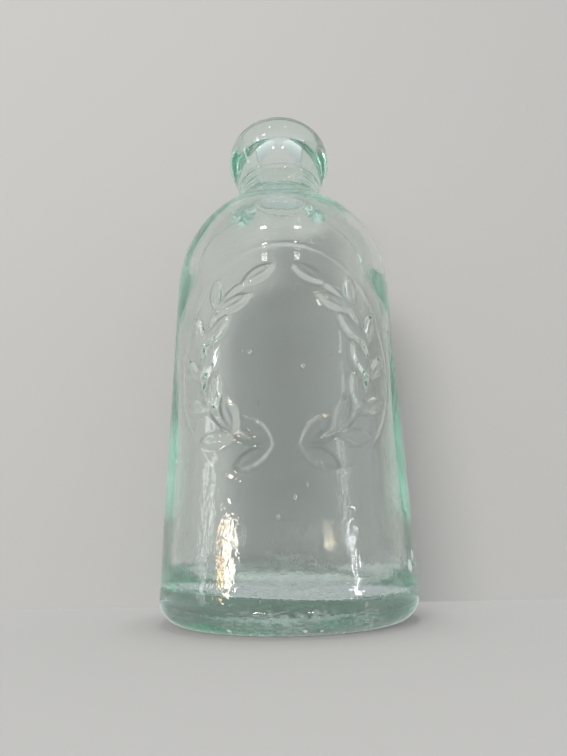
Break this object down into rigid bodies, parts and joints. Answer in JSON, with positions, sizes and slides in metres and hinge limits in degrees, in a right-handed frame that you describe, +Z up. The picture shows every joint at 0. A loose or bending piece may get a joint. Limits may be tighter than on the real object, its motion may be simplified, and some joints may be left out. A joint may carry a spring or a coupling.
{
  "type": "glass bottle",
  "caption": "Short-necked blob top soda bottle in thick aqua glass, with a straight round body, a sloping shoulder, a raised wreath and a rounded lip laid round the neck.",
  "frame": {"origin": "middle of the foot, on the surface that the bottle stands on", "axes": "+Z up along the bottle's axis, towards the mouth; -Y out of the front, which carries the wreath; +X to the right seen from the front"},
  "size_m": [0.064, 0.0647, 0.1491],
  "materials": {
    "aqua_glass": "clear aqua soda glass, glossy, with seeds, faint mould marks and light wear"
  },
  "bodies": {
    "root": {"bottle_body": "aqua_glass", "blob_lip": "aqua_glass"}
  },
  "joints": []
}
